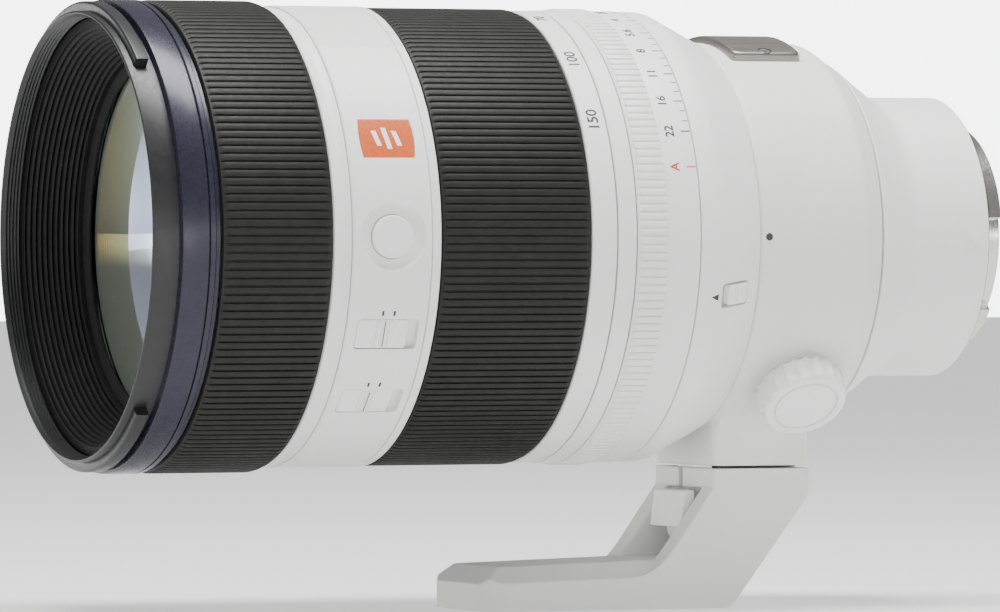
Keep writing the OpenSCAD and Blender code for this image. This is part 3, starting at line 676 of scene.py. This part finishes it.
def make_grips():
    """Ribbed rubber of the focus and zoom rings."""
    focus = ribbed_ring("focus_rubber", FOCUS_X0 + 0.02, FOCUS_X1, GRIP_R, GRIP_R - 1.75, 180, 0.5,
                        MAT["rubber"])
    stand_for(focus, "focus_ring", "grip_rubber", "focus_grip")
    zoom = ribbed_ring("zoom_rubber", ZOOM_X0 + 0.15, ZOOM_X1 - 0.1, ZOOM_R, ZOOM_R - 1.7, 184, 0.5,
                       MAT["rubber"])
    stand_for(zoom, "zoom_ring", "grip_rubber", "zoom_grip")


def arc_block(r0, r1, x0, x1, start, end):
    """Sector of a ring between two angles, counted from -Y toward +Z."""
    steps = 40
    verts = []
    for k in range(steps + 1):
        a = math.radians(start + (end - start) * k / steps)
        verts += [(px, -pr * math.cos(a), AXIS_Z + pr * math.sin(a))
                  for px, pr in ((x0, r0), (x0, r1), (x1, r1), (x1, r0))]
    faces = [[0, 1, 2, 3], [steps * 4 + i for i in (3, 2, 1, 0)]]
    faces += [[k * 4 + i, (k + 1) * 4 + i, (k + 1) * 4 + (i + 1) % 4, k * 4 + (i + 1) % 4]
              for k in range(steps) for i in range(4)]
    return new_object("sector", verts, faces)


def make_main_barrel():
    """The tube, with the waisted white ring that shows behind the focus grip."""
    x0, x1 = ends("main_barrel")
    waist0, waist1 = FOCUS_X1 + 0.3, BAND_X0
    tube = 46.15
    outline = [(x0, tube), (waist0, tube), (waist0, 49.55), (waist0 + 0.25, 49.85), (waist0 + 0.7, 49.7),
               (waist0 + 1.5, 49.3), (waist0 + 2.6, 49.12), (waist1 - 1.0, 49.3), (waist1 - 0.45, 49.6),
               (waist1 - 0.1, 49.5), (waist1 - 0.1, tube), (x1, tube), (x1, 43.45), (x0, 43.45)]
    obj = lathe("main_barrel_body", outline, MAT["white"], 512)
    windows = [arc_block(40, 48, ZOOM_X0 + 5.9, ZOOM_X0 + 11.1, 82 - 120 * k, 158 - 120 * k)
               for k in range(3)]
    smooth(cut(obj, windows), 32)
    return stand_for(obj, "barrel", "white_paint", "main_barrel")


SWITCH_ANGLES = (-24.4, -44.4)
SLOT_LEN = 14.2
SLOT_W = 7.0
BADGE_ANGLE = 24.7


def badge_outline(shrink=0.0):
    """Plate with two straight long edges and bowed ends."""
    half_l = 5.8 - shrink
    half_w = 4.4 - shrink
    steps = 10
    bow = 0.35
    share = [k / steps * 2 - 1 for k in range(steps + 1)]
    right = [(half_l + bow * math.cos(math.pi * t / 2), half_w * t) for t in share]
    return right + [(-x, -y) for x, y in right]


def make_switch_band():
    """White band with the button's dish, two switch slots and the badge's seat."""
    groove_x = BAND_X1 - 2.2
    after_x = BAND_X1 - 1.95
    band = lathe("switch_band_body", [
        (BAND_X0 + 0.05, BARREL_R), (BAND_X0 + 0.05, BAND_R - 0.3), (BAND_X0 + 0.3, BAND_R),
        (BAND_X1 - 2.35, BAND_R), (groove_x, BAND_R - 0.15), (groove_x, BAND_R - 0.5),
        (after_x, BAND_R - 0.5), (after_x, BAND_R - 0.15), (BAND_X1 - 1.8, BAND_R),
        (BAND_X1 - 0.25, BAND_R), (BAND_X1, BAND_R - 0.25), (BAND_X1, BARREL_R)], MAT["white"], 512)
    button_x = (low("focus_hold_button")[0] + high("focus_hold_button")[0]) / 2
    switch_x = BAND_X0 + 9.4
    above = BAND_R + 3
    dish = turned("dish", [(4.9, above), (7.5, above), (7.45, BAND_R - 0.35), (6.9, BAND_R - 0.9),
                           (6.2, BAND_R - 1.12), (4.9, BAND_R - 1.12)])
    well = turned("well", [(0, above), (4.78, above), (4.78, BAND_R - 3), (0, BAND_R - 3)])
    shallow = turned("shallow", [(4.7, above), (5.0, above), (5.0, BAND_R - 1.1), (4.7, BAND_R - 1.1)])
    cutters = [place(tool, at_angle(0, button_x)) for tool in (dish, well, shallow)]
    for angle in SWITCH_ANGLES:
        slot = prism("slot", plate_outline(SLOT_LEN, SLOT_W, 0.9), BAND_R - 1.6, above)
        deep = prism("deep", plate_outline(SLOT_LEN - 5, 2, 0.9), BAND_R - 2.7, BAND_R + 1)
        cutters += [place(slot, at_angle(angle, switch_x)), place(deep, at_angle(angle, switch_x))]
    seat = prism("seat", [(x * 1.02, y * 1.025) for x, y in badge_outline()], BAND_R - 0.45, BAND_R + 2)
    cutters.append(place(seat, at_angle(BADGE_ANGLE, switch_x)))
    cut(band, cutters)
    round_edges(band, 0.13, 2, 38)
    smooth(band, 35)
    stand_for(band, "barrel", "white_paint", "switch_band")
    make_badge(switch_x)
    make_switches(switch_x)
    make_button(button_x)


def make_badge(x):
    """Orange enamel plate with a generic mark of three slanted bars."""
    steps = 14
    plate = prism("badge_plate", badge_outline(0.05), -0.5, -0.06, MAT["badge"])
    bm = bmesh.new()
    bm.from_mesh(plate.data)
    places = [0] + [-4.35 + 8.7 * k / steps for k in range(1, steps)]
    for y in places:
        bmesh.ops.bisect_plane(bm, geom=bm.verts[:] + bm.edges[:] + bm.faces[:],
                               plane_co=(0, y * MM, 0), plane_no=(0, 1, 0))
    bm.to_mesh(plate.data)
    bm.free()
    wrap(plate, BAND_R, BADGE_ANGLE, x)
    marks = []
    for i, reach in enumerate((2.3, 3.3, 2.3)):
        along = (i - 1) * 2.3
        lean = 0.5
        outline = [(along - 0.55 + lean, -reach * 0.75), (along + 0.55 + lean, -reach * 0.75),
                   (along + 0.55 - lean, reach * 0.75), (along - 0.55 - lean, reach * 0.75)]
        marks.append(decal("badge_bar", outline, BAND_R - 0.06, BADGE_ANGLE, x, MAT["white_ink"], 0.03))
    stand_for(smooth(join("badge_body", [plate] + marks)), "barrel", "badge_orange", "badge")


def make_switches(x):
    """Two slide switches with a ridged thumb piece, and their index ticks."""
    for angle, node in zip(SWITCH_ANGLES, ("focus_mode_switch", "manual_focus_switch")):
        travel = 2.3
        length = SLOT_LEN - travel - 0.3
        key = prism("key", plate_outline(length, SLOT_W - 0.35, 0.7), BAND_R - 1.3, BAND_R - 0.15,
                    MAT["keys"], 0.18)
        parts = [place(key, at_angle(angle, x - travel / 2))]
        for i in (-1, 0, 1):
            ridge = block("ridge", (0.75, SLOT_W - 0.9, 0.9), (i * 1.45, 0, BAND_R - 0.25),
                          MAT["keys"], 0.22)
            parts.append(place(smooth(ridge), at_angle(angle, x - travel / 2 + 0.4)))
        line = block("line", (0.22, SLOT_W - 1.3, 0.1), (0.4, 0, BAND_R + 0.17), MAT["ink"])
        parts.append(place(line, at_angle(angle, x - travel / 2)))
        stand_for(join(node + "_key", parts), node, "white_plastic", node)
        for i, shift in enumerate((-1.3, 1.3)):
            tick = decal(f"{node}_tick_{i}", bar(0.5, 1.1), BAND_R, angle + 5.5, x - 0.2 + shift,
                         MAT["ink"])
            stand_for(tick, "barrel", "white_paint")


def make_button(x):
    """Round focus-hold button in its dish."""
    top = BAND_R - 0.1
    cap = turned("focus_hold_cap", [
        (0, top - 1.8), (4.6, top - 1.8), (4.6, top - 0.32), (4.45, top - 0.1), (4.15, top),
        (3.2, top - 0.03), (1.6, top - 0.09), (0, top - 0.12)], MAT["keys"])
    stand_for(place(cap, at_angle(0, x)), "focus_hold_button", "white_plastic", "focus_hold_button")


def make_zoom_ring():
    """Sleeve under the grip and the numbered white band."""
    core_r = 48.0
    outline = [(ZOOM_X0, RUNNING_R), (ZOOM_X0, core_r), (ZOOM_X1, core_r), (ZOOM_X1 + 0.1, SCALE_R - 0.25),
               (ZOOM_X1 + 0.35, SCALE_R), (SCALE_X1 - 0.25, SCALE_R), (SCALE_X1, SCALE_R - 0.25),
               (SCALE_X1, RUNNING_R)]
    parts = [lathe("zoom_sleeve", outline, MAT["white"], 512)]
    middle = (ZOOM_X1 + SCALE_X1) / 2
    for angle, words in ((95, "50"), (73.6, "70"), (50.7, "100"), (30.5, "150")):
        parts.append(number("zoom_number", words, 2.35, SCALE_R, angle, middle + 0.15, MAT["ink"]))
    stand_for(join("zoom_scale_band", parts), "zoom_ring", "white_paint", "zoom_ring")


def make_fixed_ring():
    """Narrow white ring with the zoom scale's index."""
    r = radius("fixed_ring")
    outline = [(FIXED_X0, BARREL_R), (FIXED_X0, r - 0.25), (FIXED_X0 + 0.25, r), (FIXED_X1 - 0.25, r),
               (FIXED_X1, r - 0.25), (FIXED_X1, BARREL_R)]
    parts = [lathe("fixed_band", outline, MAT["white"], 512)]
    parts.append(decal("zoom_index", bar(2.2, 0.5), r, 95, FIXED_X0 + 1.5, MAT["ink"]))
    stand_for(join("fixed_ring_body", parts), "barrel", "white_paint", "fixed_ring")


APERTURE_STOPS = ((17.7, "A"), (27.3, "22"), (36.2, "16"), (45.3, "11"), (54.4, "8"), (63.5, "5.6"),
                  (72.6, "4"), (81.7, "2.8"), (90.8, "2"))


def make_aperture_ring():
    """White ring with a knurled front half and a numbered rear half."""
    r = radius("aperture_ring")
    smooth_r = r - 0.5
    knurl_end = APERTURE_X0 + 7.1
    base = lathe("aperture_band", [
        (APERTURE_X0, RUNNING_R), (APERTURE_X0, r - 0.75), (APERTURE_X0 + 0.15, r - 0.55),
        (knurl_end + 0.2, r - 0.55), (knurl_end + 0.35, smooth_r), (APERTURE_X1 - 0.25, smooth_r),
        (APERTURE_X1, smooth_r - 0.25), (APERTURE_X1, RUNNING_R)], MAT["white"], 512)
    knurl = ribbed_ring("knurl", APERTURE_X0 + 0.25, knurl_end, r, r - 1.4, 180, 0.42, MAT["white"],
                        land=0.58, run=0.35, edge=0.25)
    parts = [base, knurl]
    for i, (angle, words) in enumerate(APERTURE_STOPS):
        ink = MAT["red_ink"] if words == "A" else MAT["ink"]
        parts.append(number("stop_number", words, 1.9, smooth_r, angle, knurl_end + 2.6, ink))
        parts.append(decal("stop_tick", bar(2.1, 0.28), smooth_r, angle, APERTURE_X1 - 1.35, ink))
        if i > 1:
            for k in (1, 2):
                between = angle - (angle - APERTURE_STOPS[i - 1][0]) * k / 3
                parts.append(decal("third_tick", bar(1.2, 0.22), smooth_r, between, APERTURE_X1 - 0.9,
                                   MAT["ink"]))
    stand_for(join("aperture_ring_body", parts), "aperture_ring", "white_paint", "aperture_ring")


# ---------------------------------------------------------------- rear half

LOCK_ANGLE = -15.3
LOCK_R = 46.8
LOCK_SLOT_LEN = 8.6
CONE_TILT = 28


def make_rear_housing():
    """Cylinder and cone in front of the collar, with the iris lock's slot."""
    sleeve_end = high("rear_housing")[0]
    seam = COLLAR_X0 - 0.5
    front = HOUSING_X + 0.1
    outline = [(front, 46.2), (front, SCALE_R - 0.2), (HOUSING_X + 0.3, SCALE_R),
               (HOUSING_X + 4.1, SCALE_R), (HOUSING_X + 4.9, SCALE_R - 0.16),
               (HOUSING_X + 5.6, SCALE_R - 0.5), (HOUSING_X + 6.2, SCALE_R - 0.83), (seam - 0.1, 43.5),
               (seam + 0.2, 43.2), (seam + 0.2, SLEEVE_R), (sleeve_end, SLEEVE_R),
               (sleeve_end, SLEEVE_IN_R), (HOUSING_X + 8, SLEEVE_IN_R), (HOUSING_X + 3, 43.4),
               (HOUSING_X + 3, 46.2)]
    body = lathe("rear_housing_body", outline, MAT["cast"], 512)
    travel = 1.7
    lean = Matrix.Rotation(math.radians(CONE_TILT), 4, "Y")
    lock = at_angle(LOCK_ANGLE, HOUSING_X + 9.7) @ Matrix.Translation((0, 0, LOCK_R * MM)) @ lean
    slot = prism("slot", plate_outline(LOCK_SLOT_LEN, 5.5, 0.8), -1.9, 6)
    cut(body, [place(slot, lock)])
    round_edges(body, 0.12, 2, 38)
    smooth(body, 35)
    stand_for(body, "barrel", "cast_paint", "rear_housing")
    key_len = LOCK_SLOT_LEN - travel - 0.6
    key = prism("iris_lock_key", plate_outline(key_len, 4.4, 0.6), -1.5, 0.3, MAT["keys"], 0.2)
    ridges = [smooth(block("ridge", (0.5, 3.4, 0.5), (i * 1.1, 0, 0.3), MAT["keys"], 0.15))
              for i in (-1, 0, 1)]
    key = join("iris_lock_body", [key] + ridges)
    place(key, lock @ Matrix.Translation((travel / 2 * MM, 0, 0)))
    stand_for(key, "iris_lock_switch", "white_plastic", "iris_lock_switch")
    arrow = decal("lock_arrow", [(-0.9, 0), (0.75, 0.75), (0.75, -0.75)], SCALE_R, LOCK_ANGLE,
                  HOUSING_X + 4.0, MAT["ink"])
    stand_for(arrow, "barrel", "cast_paint")
    index = decal("aperture_index", bar(2.6, 0.35), SCALE_R, 90.8, HOUSING_X + 1.7, MAT["ink"])
    stand_for(index, "barrel", "cast_paint")


def make_rear_cone():
    """Rear casting: cone, concave sweep and the cylinder in front of the mount."""
    start = COLLAR_X1 + 0.3
    r_tube = 31.0
    foot = REAR_X - 18.0
    ridge = 39.1
    slope = (ridge - r_tube) / (foot - start - 0.3)
    blend = 2.0
    outline = [(start, 35.5), (start, ridge - 0.3), (start + 0.15, ridge - 0.05), (start + 0.3, ridge)]
    for i in range(9):
        t = i / 8
        outline.append((foot - blend * (1 - t) ** 2 + blend * t * t, r_tube + slope * blend * (1 - t) ** 2))
    seat_r = 30.5
    bore_r = 27.5
    outline += [(REAR_X - 0.5, r_tube), (REAR_X - 0.2, r_tube - 0.3), (REAR_X - 0.2, seat_r),
                (REAR_X - 1.2, seat_r), (REAR_X - 1.2, bore_r), (foot + 2.3, bore_r),
                (start - 6, 34), (start - 6, 35.5)]
    obj = lathe("rear_cone_body", outline, MAT["cast"], 512)
    stand_for(obj, "barrel", "cast_paint", "rear_cone")


def make_collar():
    """Cast collar with its index dot, top plate and knob."""
    body = soft_cast("collar_ring", 0.4, 4, MAT["collar"])
    stand_for(body, "collar", "collar_paint", "collar_ring")
    mark = decal("collar_index", dot(0.83), COLLAR_R, 0, COLLAR_X0 + 2.1, MAT["ink"], 0.05)
    stand_for(mark, "collar", "collar_paint")
    make_top_plate()
    make_knob()


def make_top_plate():
    """Curved metal plate on top of the collar, with a rounded rim."""
    x0, x1 = ends("collar_top_plate")
    r_out = high("collar_top_plate")[2] - AXIS_Z
    half = PLATE_HALF_ANGLE
    rows = 40
    columns = 16
    rim = 1.1
    drop = r_out - COLLAR_R + 0.3

    def fall(d):
        d = max(0.0, min(d, rim))
        return drop * (1 - math.sqrt(max(0.0, 1 - ((rim - d) / rim) ** 2))) if d < rim else 0.0

    verts = []
    across = math.radians(half) * r_out * 2
    fine = [rim * k / 6 for k in range(7)]
    marks_y = sorted({across * k / rows for k in range(rows + 1)} | set(fine) |
                     {across - mark for mark in fine})
    marks_x = sorted({(x1 - x0) * k / columns for k in range(columns + 1)} | set(fine) |
                     {x1 - x0 - mark for mark in fine})
    corner = 2.0
    for side in (1, 0):
        for y in marks_y:
            for x in marks_x:
                dx = min(x, x1 - x0 - x)
                dy = min(y, across - y)
                inset = min(dx, dy)
                shift_x = shift_y = 0.0
                if dx < corner and dy < corner:
                    cx, cy = corner - dx, corner - dy
                    big = max(cx, cy)
                    long = math.hypot(cx, cy)
                    scale = big / long if long else 1
                    shift_x = (cx - cx * scale) * (1 if x < (x1 - x0) / 2 else -1)
                    shift_y = (cy - cy * scale) * (1 if y < across / 2 else -1)
                    inset = corner - big
                r = r_out - fall(inset) if side else COLLAR_R - 0.5
                a = math.pi / 2 - math.radians(half) + (y + shift_y) / r_out
                verts.append((x0 + x + shift_x, -r * math.cos(a), AXIS_Z + r * math.sin(a)))
    nx, ny = len(marks_x), len(marks_y)
    faces = []
    for side in (0, 1):
        base = side * nx * ny
        for j in range(ny - 1):
            for i in range(nx - 1):
                k = base + j * nx + i
                faces.append([k, k + 1, k + nx + 1, k + nx])
    rim_loop = ([j * nx for j in range(ny)] + [(ny - 1) * nx + i for i in range(1, nx)] +
                [j * nx + nx - 1 for j in range(ny - 2, -1, -1)] + list(range(nx - 2, 0, -1)))
    for k, here in enumerate(rim_loop):
        after = rim_loop[(k + 1) % len(rim_loop)]
        faces.append([here, after, after + nx * ny, here + nx * ny])
    obj = smooth(new_object("top_plate_body", verts, faces, MAT["plate"]), 60)
    well = [(0, r_out + 2), (1.5, r_out + 2), (1.5, r_out - 0.75), (0, r_out - 0.75)]
    wells = [place(turned("well", well, steps=48), at_angle(90 + s * PLATE_SCREW_ANGLE, (x0 + x1) / 2))
             for s in (-1, 1)]
    cut(obj, wells)
    smooth(obj, 40)
    stand_for(obj, "collar", "top_plate_metal", "collar_top_plate")


def make_knob():
    """Fluted clamping knob with a stepped face."""
    base = 44.3
    top = 50.5
    r = 10.0
    flutes = 22
    per = 12
    steps = flutes * per
    depth = 0.75
    hub = -1
    hub_r = 6.0
    drawn_in = 0.9

    def scallop(k, amount):
        phase = (k % per) / per
        return r - amount * abs(math.sin(math.pi * phase)) ** 0.7 * (1 if 0 < phase < 1 else 0)

    # height, fullness of the fluted outline (hub for the hub's own radius), or a plain radius
    stations = [(base, hub, None), (base, 0.55, None), (base + 0.4, 1, None), (top - 1.9, 1, None),
                (top - 1.3, 0.9, None), (top - 0.8, None, 9.35), (top - 0.35, None, 9.15),
                (top - 0.1, None, 8.95), (top, None, 8.65), (top, None, 7.45), (top - 0.12, None, 7.3),
                (top - 0.55, None, 7.25), (top - 0.55, None, 6.85), (top - 0.12, None, 6.8),
                (top, None, 6.65), (top, None, 3.0)]
    verts = []
    for z, share, fixed in stations:
        for k in range(steps):
            a = TAU * k / steps
            if fixed is not None:
                here = fixed
            elif share == hub:
                here = hub_r
            else:
                here = scallop(k, depth) - (1 - share) * drawn_in
            verts.append((here * math.cos(a), here * math.sin(a), z))
    faces = []
    for s in range(len(stations) - 1):
        for k in range(steps):
            n = (k + 1) % steps
            faces.append([s * steps + k, s * steps + n, (s + 1) * steps + n, (s + 1) * steps + k])
    faces.append(list(range((len(stations) - 1) * steps, len(stations) * steps)))
    faces.append(list(range(steps))[::-1])
    obj = smooth(new_object("knob_body", verts, faces, MAT["keys"]), 38)
    knob_x = (low("collar_knob")[0] + high("collar_knob")[0]) / 2
    stand_for(place(obj, at_angle(KNOB_ANGLE, knob_x)), "knob", "white_plastic", "collar_knob")


def make_foot():
    """Cast foot and the lever in its arm."""
    stand_for(soft_cast("foot", 0.3, 4, MAT["collar"]), "foot", "collar_paint", "foot")
    lever = soft_cast("release_lever", 0.22, 4, MAT["keys"])
    stand_for(lever, "release_lever", "white_plastic", "release_lever")


def finish_cad_nodes():
    """Materials for the CAD nodes that stay as they are."""
    looks = {
        "steel": ["socket_inserts", "lever_pin", "collar_dovetail", "dovetail_screws", "top_plate_screws",
                  "clamp_stud", "mount_screws", "focus_motors"],
        "chrome": ["mount_flange"],
        "alloy": ["guide_tube", "cam_sleeve", "iris_drive_ring", "focus_ring"],
        "matt_black": ["clamp_shoe", "iris_housing", "contact_block", "zoom_cell", "focus_cell",
                       "collar_liner"] + [f"iris_blade_{i}" for i in range(1, 10)],
        "rubber": ["mount_gasket"],
        "brass": ["contact_pins"],
        "board": ["circuit_board"],
        "white_ink": ["mount_index_dot"],
    }
    for look, nodes in looks.items():
        for node in nodes:
            obj = frame["nodes"][node]
            obj.data.materials.clear()
            obj.data.materials.append(MAT[look])


# ---------------------------------------------------------------- camera, light and floor

def area_light(name, place_at, aim, size, power):
    data = bpy.data.lights.new(name, "AREA")
    data.shape = "RECTANGLE"
    data.size, data.size_y = size
    data.energy = power
    obj = bpy.data.objects.new(name, data)
    bpy.context.scene.collection.objects.link(obj)
    obj.location = place_at
    obj.rotation_euler = (Vector(aim) - Vector(place_at)).to_track_quat("-Z", "Y").to_euler()
    return obj


def plain(name, colour, roughness, glow):
    """Even surface with a little light of its own."""
    finish = Finish(name, colour, roughness)
    finish.shader.inputs["Emission Color"].default_value = (1, 1, 1, 1)
    finish.shader.inputs["Emission Strength"].default_value = glow
    return finish.material


def make_camera():
    """Long lens at the height of the optical axis, turned toward the front and aimed slightly down."""
    centre = Vector((-0.019, 0, AXIS_Z * MM))
    turn = math.radians(22.75)
    distance = 1.846
    camera = bpy.data.cameras.new("camera")
    camera.sensor_width = 36
    camera.lens = 303.9
    camera.clip_end = 50
    rig = bpy.data.objects.new("camera", camera)
    bpy.context.scene.collection.objects.link(rig)
    rig.location = centre + distance * Vector((-math.sin(turn), -math.cos(turn), 0))
    aim = centre - Vector((0, 0, 0.01513))
    rig.rotation_euler = (aim - rig.location).to_track_quat("-Z", "Y").to_euler()
    bpy.context.scene.camera = rig


def make_world():
    """Studio light that is bright near the horizon and weak above it."""
    world = bpy.data.worlds.new("studio")
    bpy.context.scene.world = world
    world.use_nodes = True
    background = world.node_tree.nodes["Background"]
    background.inputs["Color"].default_value = (1, 1, 1, 1)
    links = world.node_tree.links
    add = world.node_tree.nodes.new
    direction = add("ShaderNodeTexCoord")
    split = add("ShaderNodeSeparateXYZ")
    fall = add("ShaderNodeMapRange")
    for socket, value in (("From Min", 0.03), ("From Max", 0.12), ("To Min", 6.0), ("To Max", 0.3)):
        fall.inputs[socket].default_value = value
    links.new(direction.outputs["Generated"], split.inputs[0])
    links.new(split.outputs["Z"], fall.inputs["Value"])
    links.new(fall.outputs["Result"], background.inputs["Strength"])


def make_stage():
    """Camera, floor, world and lights."""
    make_camera()
    half = 6000
    corners = [(-half, -half, 0), (half, -half, 0), (half, half, 0), (-half, half, 0)]
    floor = new_object("floor", corners, [(0, 1, 2, 3)], plain("floor_white", (0.5, 0.5, 0.5), 0.9, 0.7))
    make_world()
    area_light("key", (-0.05, -0.12, 1.1), (0, 0, 0.08), (0.9, 0.5), 32)
    area_light("front_fill", (-1.1, -1.2, 0.5), (0, 0, 0.08), (0.6, 0.6), 0.3)
    area_light("foot_fill", (-0.2, -0.7, 0.06), (0.01, 0, 0.01), (0.3, 0.1), 0.3)


make_front_ring()
make_baffle()
make_front_cell()
make_glass()
make_accent_ring()
make_grips()
make_main_barrel()
make_switch_band()
make_zoom_ring()
make_fixed_ring()
make_aperture_ring()
make_rear_housing()
make_rear_cone()
make_collar()
make_foot()
finish_cad_nodes()
make_stage()
